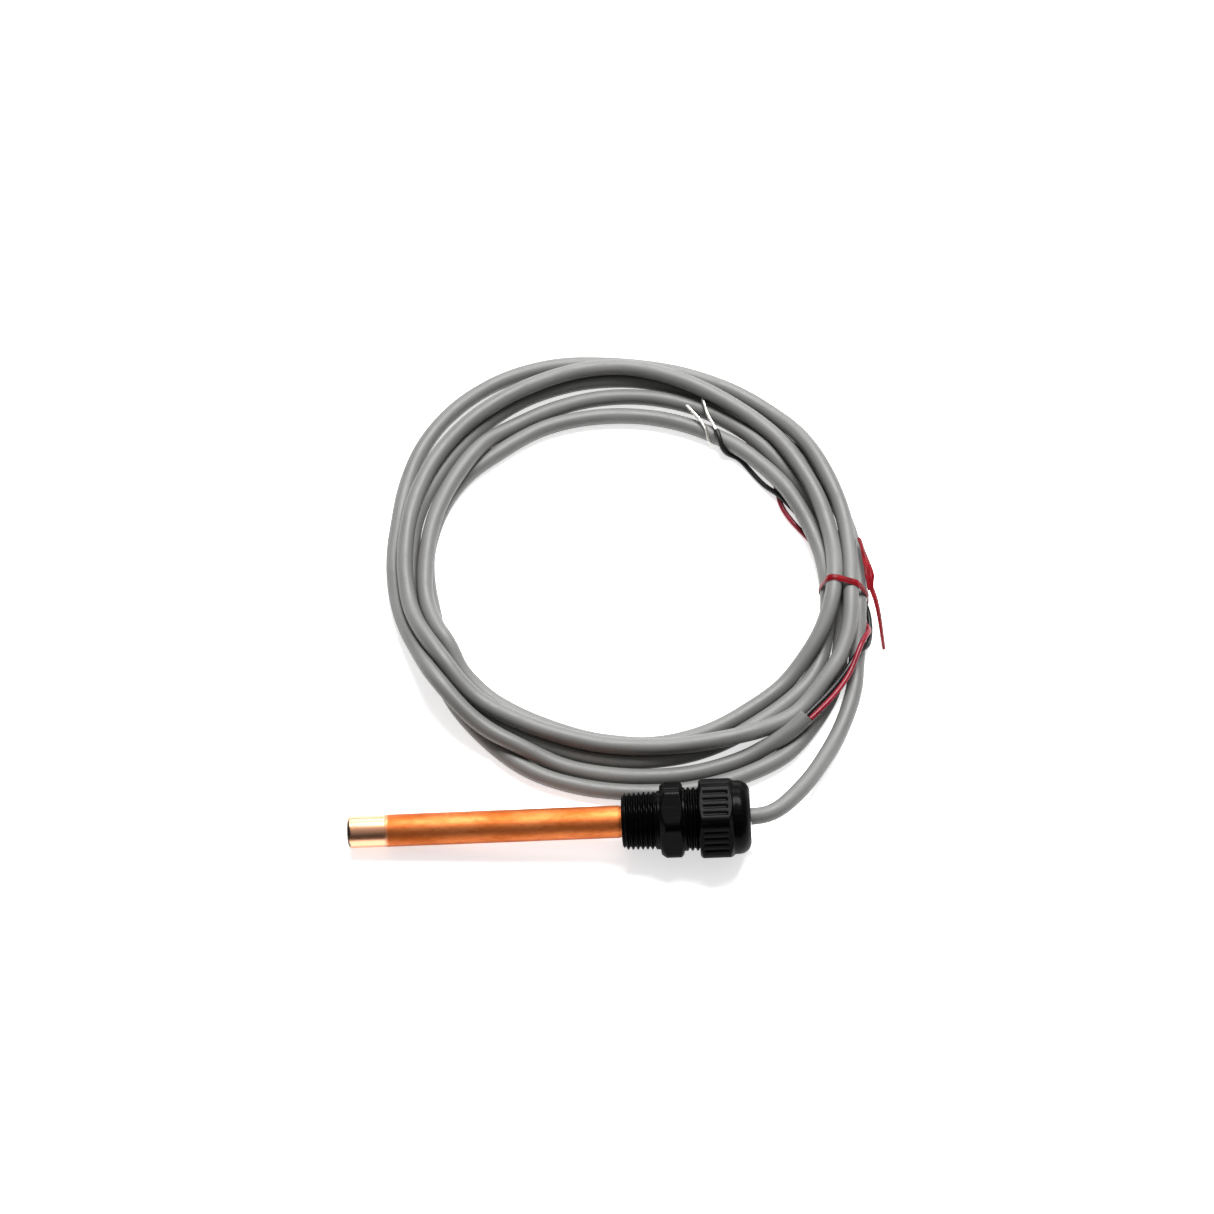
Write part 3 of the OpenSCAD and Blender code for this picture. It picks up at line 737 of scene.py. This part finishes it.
def ribbon(line, across, out, width, loop):
    """Points and faces of a ribbon along a line, given its two cross directions."""
    section = ribbon_section(width)
    sideways = section[None, :, :1] * across[:, None]
    rings = line[:, None] + sideways + section[None, :, 1:] * out[:, None]
    return rings.reshape(-1, 3), skin_faces(len(line), len(section), loop)


def convex(points):
    """Convex outline of points in a plane, anticlockwise."""
    points = sorted(map(tuple, points))

    def half(ordered):
        chain = []
        for p in ordered:
            while len(chain) > 1 and (
                (chain[-1][0] - chain[-2][0]) * (p[1] - chain[-2][1])
                - (chain[-1][1] - chain[-2][1]) * (p[0] - chain[-2][0])
            ) <= 0:
                chain.pop()
            chain.append(p)
        return chain[:-1]

    return np.array(half(points) + half(points[::-1]))


def tie_loop(cable_line, lead_lines):
    """Closed line of the tie round everything that passes through its plane."""
    angle = math.radians(TIE_ANGLE)
    radial = np.array([math.cos(angle), math.sin(angle)])
    around = np.array([-math.sin(angle), math.cos(angle)])
    rim = []
    for line, radius in [(cable_line, CABLE_R)] + [(lead, LEAD_R) for lead in lead_lines]:
        flat = line[:, :2] - COIL_CENTRE
        across = flat @ around
        crossing = np.nonzero((across[:-1] * across[1:] <= 0) & (flat[:-1] @ radial > 0))[0]
        for i in crossing:
            middle = np.array([flat[i] @ radial, line[i, 2]])
            for k in range(24):
                a = k * math.pi / 12
                rim.append(middle + (radius + 0.22) * np.array([math.cos(a), math.sin(a)]))
    outline = convex(rim)
    closed = np.vstack([outline, outline[:1]])
    where = np.linspace(0, lengths(closed)[-1], 97)[:-1]
    even = np.stack([np.interp(where, lengths(closed), closed[:, k]) for k in range(2)], 1)
    even[:, 1] = np.maximum(even[:, 1], TIE_RIDGE / 2)
    lean = 0.1 * (even[:, 1:] - even[:, 1:].min())
    flat = COIL_CENTRE + even[:, :1] * radial + lean * around
    loop = np.column_stack([flat, even[:, 1]])
    tangent = np.roll(loop, -1, axis=0) - np.roll(loop, 1, axis=0)
    tangent /= np.linalg.norm(tangent, axis=1)[:, None]
    across = np.broadcast_to(np.array([*around, 0.1]), loop.shape)
    across = across - tangent * (across * tangent).sum(1)[:, None]
    across /= np.linalg.norm(across, axis=1)[:, None]
    return loop, across, np.cross(across, tangent)


def make_tie(cable_line, lead_lines):
    material = tie_material()
    loop, across, out = tie_loop(cable_line, lead_lines)
    points, faces = ribbon(loop, across, out, TIE_WIDTH, True)
    band = add_object("tie_band", mesh_of("tie_band", points * MM, faces, 50), material)

    line = smooth_route(TIE_TWIST, 0.3)
    tangent = frames(line)[0]
    along = lengths(line)
    # the two ends lie side by side and close up slowly
    turn = 0.15 + 0.9 * along / along[-1]
    flat = np.cross(tangent, (0, -0.45, 0.89))
    flat /= np.linalg.norm(flat, axis=1)[:, None]
    upright = np.cross(tangent, flat)
    a = np.cos(turn)[:, None] * flat + np.sin(turn)[:, None] * upright
    b = np.cross(tangent, a)
    apart = np.interp(along, [0, 2.5, 4.5, along[-1]], [0.05, 0.3, 0.8, 0.2])[:, None]
    points, faces = [], []
    for strip in (-1, 1):
        ring, quads = ribbon(line + strip * (apart * a + 0.24 * b), a, b, TIE_WIDTH, False)
        faces += [tuple(k + len(points) for k in quad) for quad in quads]
        points += list(ring * MM)
    twist = add_object("tie_twist", mesh_of("tie_twist", points, faces, 50), material)

    line = smooth_route(TIE_TAIL, 0.4)
    tangent, side, normal = frames(line)
    turn = np.linspace(0.5, 0.9, len(line))
    a = np.cos(turn)[:, None] * side + np.sin(turn)[:, None] * normal
    points, faces = ribbon(line, a, np.cross(tangent, a), TIE_WIDTH, False)
    tail = add_object("tie_tail", mesh_of("tie_tail", points * MM, faces, 50), material)
    for piece in (band, twist, tail):
        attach(piece, ROOT)
        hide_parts("twist_tie")
    return [band, twist, tail]


# ---------------------------------------------------------------- turned and threaded parts

COLUMNS = 360


def soft_min(a, b, blend):
    """The smaller of a and b, with the edge between them rounded."""
    share = np.clip(0.5 + 0.5 * (b - a) / blend, 0, 1)
    return b + (a - b) * share - blend * share * (1 - share)


def dense(outline, step):
    """Points (radius, station) along an outline, at even steps."""
    points = np.array(outline, float)
    out = [points[0]]
    for a, b in zip(points[:-1], points[1:]):
        count = max(1, round(float(np.linalg.norm(b - a)) / step))
        out += [a + (b - a) * (i + 1) / count for i in range(count)]
    return np.array(out)


def arc(centre, radius, start, end, count=8):
    """Points of an arc in the (radius, station) plane, angles in degrees."""
    angle = np.radians(np.linspace(start, end, count))
    return [(centre[0] + radius * math.cos(a), centre[1] + radius * math.sin(a)) for a in angle]


def revolved(name, outline, shape, material, columns=COLUMNS, sharp=38):
    """Closed ring of revolution whose radius shape(radius, station, angle) may change."""
    angle = np.arange(columns) * 2 * math.pi / columns
    radius = np.broadcast_to(outline[:, :1], (len(outline), columns))
    station = np.broadcast_to(outline[:, 1:], (len(outline), columns))
    r = shape(radius, station, angle[None, :]) if shape else radius
    points = np.stack([r * np.cos(angle), r * np.sin(angle), station], 2).reshape(-1, 3) * MM
    mesh = mesh_of(name, points, skin_faces(len(outline), columns, True), sharp)
    return add_object(name, mesh, material, PROBE)


def hex_radius(angle, flats, turned):
    """Radius of a hexagon in each direction; one flat faces the angle turned, in degrees."""
    within = (angle - math.radians(turned) + math.pi / 6) % (math.pi / 3) - math.pi / 6
    return flats / 2 / np.cos(within), within


def thread(station, angle, pitch, crest=0.12):
    """1 on the crest of a right-hand thread and 0 in its root."""
    phase = (station / pitch - angle / (2 * math.pi)) % 1
    ramp = np.clip((abs(phase - 0.5) * 2 - crest) / (1 - 2 * crest), 0, 1)
    return ramp * ramp * (3 - 2 * ramp) * 0.35 + ramp * 0.65


# stations and sizes of the gland, in mm from the probe's tip
NIPPLE, FLANGE, NECK = 80, 91.2, 97.8
HEX, NOSE, END = 102.5, 112.4, PROBE_LENGTH
BODY_END, CHAMBER = 108.5, 101.5
BORE_R, CHAMBER_R, CABLE_HOLE_R = 5.8, 6.6, 2.8
NIPPLE_R, NIPPLE_TAPER, NIPPLE_PITCH, NIPPLE_DEPTH = 8.55, 1 / 32, 1.411, 0.85
NECK_R, NECK_PITCH, NECK_DEPTH = 9.3, 1.5, 0.8
FLANGE_AF, FLANGE_TURN, FLANGE_R = 20.6, 5, 11.39
NUT_AF, NUT_R, NOSE_R, NOSE_FILLET = 22, 12.2, 10.7, 3.6
NUT_BORE_R, SEAT, MOUTH_R = 9.375, 110.92, 5.25
GROOVES, GROOVE_DEPTH, GROOVE_WIDTH = 4, 0.18, 0.8


def gland_body_shape(radius, station, angle):
    crest = NIPPLE_R - (FLANGE - station) * NIPPLE_TAPER
    fade_in = np.clip((station - NIPPLE - 0.2) / 0.8, 0, 1)
    fade_out = np.clip((FLANGE - 0.7 - station) / 0.9, 0, 1)
    depth = NIPPLE_DEPTH * (1 - thread(station, angle, NIPPLE_PITCH))
    cut = crest - depth * fade_out
    lead_in = NIPPLE_R - NIPPLE_DEPTH - 0.5 + (station - NIPPLE) * 1.1
    nipple = soft_min(cut, np.where(fade_in < 1, lead_in, cut + 1), 0.15)
    r = np.where((station > NIPPLE) & (station < FLANGE) & (radius > BORE_R + 0.3), nipple, radius)
    fade = np.clip((station - NECK - 0.3) / 0.7, 0, 1)
    fade = fade * np.clip((BODY_END - 0.5 - station) / 0.7, 0, 1)
    neck = radius - NECK_DEPTH * fade * (1 - thread(station, angle, NECK_PITCH))
    r = np.where((station > NECK) & (radius > NECK_R - 0.7), neck, r)
    flat, _ = hex_radius(angle, FLANGE_AF, FLANGE_TURN)
    in_flange = (station >= FLANGE) & (station <= NECK) & (radius > NECK_R + 0.2)
    return np.where(in_flange, soft_min(radius, flat, 0.3), r)


def make_gland_body(material):
    crest0 = NIPPLE_R - (FLANGE - NIPPLE) * NIPPLE_TAPER
    outline = np.concatenate([
        dense([(BORE_R, NIPPLE), (crest0 - NIPPLE_DEPTH - 0.5, NIPPLE)], 0.4),
        dense([(crest0, NIPPLE + 0.05), (NIPPLE_R, FLANGE - 0.02)], 0.1),
        dense([(NIPPLE_R + 0.1, FLANGE), (FLANGE_AF / 2 - 0.35, FLANGE),
               (FLANGE_R, FLANGE + 1.6)], 0.16),
        dense([(FLANGE_R, FLANGE + 1.7), (FLANGE_R, NECK - 0.8), (FLANGE_AF / 2 - 0.3, NECK)], 0.2),
        dense([(FLANGE_AF / 2 - 0.5, NECK), (NECK_R + 0.1, NECK)], 0.4),
        dense([(NECK_R, NECK + 0.1), (NECK_R, BODY_END - 0.6)], 0.1),
        dense([(NECK_R - 0.6, BODY_END), (CHAMBER_R + 1.3, BODY_END), (CHAMBER_R, BODY_END - 1.2),
               (CHAMBER_R, CHAMBER), (CABLE_HOLE_R, CHAMBER), (CABLE_HOLE_R, 100), (BORE_R, 100),
               (BORE_R, NIPPLE + 0.1)], 1.2),
    ])
    body = revolved("gland_body_moulding", outline, gland_body_shape, material)
    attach(body, ROOT)
    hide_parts("gland_body")


def nut_shape(radius, station, angle):
    flat, within = hex_radius(angle, NUT_AF, 0)
    lateral = flat * np.sin(within)
    spacing = NUT_AF / 10
    ribs = np.zeros_like(radius)
    for i in range(GROOVES):
        place = (i - (GROOVES - 1) / 2) * spacing
        ribs = np.maximum(ribs, np.clip(1.5 - abs(lateral - place) / GROOVE_WIDTH * 2, 0, 1))
    ends = np.clip((station - HEX - 1.2) / 0.4, 0, 1) * np.clip((NOSE - 1.4 - station) / 0.4, 0, 1)
    flat = flat - GROOVE_DEPTH * ribs * ends
    outside = (station >= HEX) & (station <= NOSE) & (radius > NUT_BORE_R + 0.5)
    return np.where(outside, soft_min(radius, flat, 0.35), radius)


def make_nut(material):
    nose = arc((NOSE_R - NOSE_FILLET, END - NOSE_FILLET), NOSE_FILLET, 0, 90, 14)
    mouth = arc((MOUTH_R + 0.8, END - 0.8), 0.8, 90, 180, 6)
    outline = np.concatenate([
        dense([(NUT_BORE_R + 0.3, HEX), (NUT_AF / 2 - 0.5, HEX)], 0.4),
        dense([(NUT_AF / 2 - 0.15, HEX + 0.05), (NUT_R, HEX + 0.85)], 0.12),
        dense([(NUT_R, HEX + 1), (NUT_R, NOSE - 1.2)], 0.2),
        dense([(NUT_R - 0.05, NOSE - 1), (NUT_AF / 2 + 0.2, NOSE - 0.3),
               (NUT_AF / 2 - 0.1, NOSE)], 0.14),
        dense([(NOSE_R + 0.05, NOSE + 0.1), (NOSE_R, NOSE + 0.5),
               (NOSE_R, END - NOSE_FILLET - 0.3)], 0.3),
        np.array(nose),
        dense([(NOSE_R - NOSE_FILLET - 0.1, END), (MOUTH_R + 0.9, END)], 0.4),
        np.array(mouth),
        dense([(MOUTH_R, END - 1), (MOUTH_R, SEAT), (NUT_BORE_R, SEAT),
               (NUT_BORE_R, HEX + 0.3)], 0.9),
    ])
    nut = revolved("clamp_nut_moulding", outline, nut_shape, material)
    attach(nut, NUT)
    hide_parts("clamp_nut")


# ---------------------------------------------------------------- the copper sheath

SHEATH_R, SHEATH_BORE_R, SHEATH_END = 4.765, 3.955, 100
RIM_R, GROOVE_AT, GROOVE_LENGTH, GROOVE_CUT = 0.75, 80, 1.4, 0.2


def sheath_shape(radius, station, angle):
    """Slightly uneven drawn tube, a hair thinner where its tip was polished."""
    outer = radius > SHEATH_BORE_R + 0.2
    wave = 0.012 * np.sin(station * 0.31 + 1.3 * np.sin(angle))
    wave = wave + 0.008 * np.sin(2 * angle + station * 0.11)
    polished = 0.04 * np.clip((POLISHED_LENGTH + 0.15 - station) / 0.3, 0, 1)
    groove = GROOVE_CUT * np.clip((GROOVE_LENGTH / 2 + 0.05 - abs(station - GROOVE_AT)) / 0.1, 0, 1)
    return np.where(outer, radius + wave * (station > 2) - 0.02 - polished - groove, radius)


def make_sheath(material):
    rim = arc((SHEATH_R - RIM_R, RIM_R), RIM_R, 270, 360, 10)
    outline = np.concatenate([
        np.array([(SHEATH_BORE_R, 3.0), (SHEATH_BORE_R, 0.9), (SHEATH_BORE_R, 0.1)]),
        np.array(rim),
        dense([(SHEATH_R, 0.95), (SHEATH_R, POLISHED_LENGTH - 0.5)], 0.4),
        dense([(SHEATH_R, POLISHED_LENGTH - 0.3), (SHEATH_R, POLISHED_LENGTH + 0.4)], 0.1),
        dense([(SHEATH_R, POLISHED_LENGTH + 0.8), (SHEATH_R, GROOVE_AT - 1)], 0.9),
        dense([(SHEATH_R, GROOVE_AT - 0.9), (SHEATH_R, GROOVE_AT + 0.9)], 0.05),
        dense([(SHEATH_R, GROOVE_AT + 1), (SHEATH_R, SHEATH_END)], 0.9),
        dense([(SHEATH_BORE_R, SHEATH_END), (SHEATH_BORE_R, 4.0)], 6),
    ])
    sheath = revolved("copper_sheath", outline, sheath_shape, material, 144)
    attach(sheath, ROOT)
    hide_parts("sheath_tube")


# ---------------------------------------------------------------- pieces kept from the CAD


def dress_cad_nodes(materials):
    for node, material in materials.items():
        mesh = frame["nodes"][node].data
        mesh.materials.clear()
        mesh.materials.append(material)


def main():
    make_camera()
    make_lights()
    make_floor()
    make_cords()
    nylon = nylon_material()
    make_gland_body(nylon)
    make_nut(nylon)
    make_sheath(copper_material())
    wire = metal_material("alloy_wire", (0.42, 0.40, 0.36), (0.68, 0.66, 0.62), 0.3)
    tinned = metal_material("tinned_barrel", (0.55, 0.54, 0.50), (0.85, 0.84, 0.80), 0.25)
    sleeving = moulded_material("shrunk_sleeving", (0.012, 0.012, 0.013), (0.03, 0.03, 0.032), 0.5)
    epoxy = moulded_material("set_epoxy", (0.045, 0.038, 0.032), (0.09, 0.08, 0.07), 0.35)
    grey = moulded_material(
        "grey_jacket_inside", (0.115, 0.115, 0.110), (0.160, 0.160, 0.155), 0.45
    )
    dress_cad_nodes({
        "tip_plug": oxidised_material(),
        "tip_potting": moulded_material(
            "magnesia", (0.66, 0.64, 0.58), (0.84, 0.82, 0.77), 0.85, 0.5, 0.05
        ),
        "junction_bead": wire,
        "thermo_wire_positive": wire,
        "thermo_wire_negative": wire,
        "ceramic_beads": moulded_material(
            "ceramic", (0.76, 0.72, 0.63), (0.88, 0.85, 0.78), 0.6, 0.4, 0.02
        ),
        "splice_red": tinned,
        "splice_black": tinned,
        "splice_sleeve_red": sleeving,
        "splice_sleeve_black": sleeving,
        "inner_lead_red": plain_insulation_material(
            "red_core", (0.30, 0.004, 0.03), (0.52, 0.012, 0.06), 0.35
        ),
        "inner_lead_black": plain_insulation_material(
            "black_core", (0.01, 0.01, 0.01), (0.02, 0.02, 0.02), 0.35
        ),
        "sheath_mouth_seal": epoxy,
        "gland_bond": epoxy,
        "sealing_grommet": moulded_material(
            "grommet_rubber", (0.012, 0.012, 0.012), (0.03, 0.03, 0.03), 0.75
        ),
        "friction_washer": moulded_material(
            "washer_nylon", (0.60, 0.59, 0.53), (0.74, 0.73, 0.68), 0.5
        ),
        "cable_entry": grey,
    })


main()
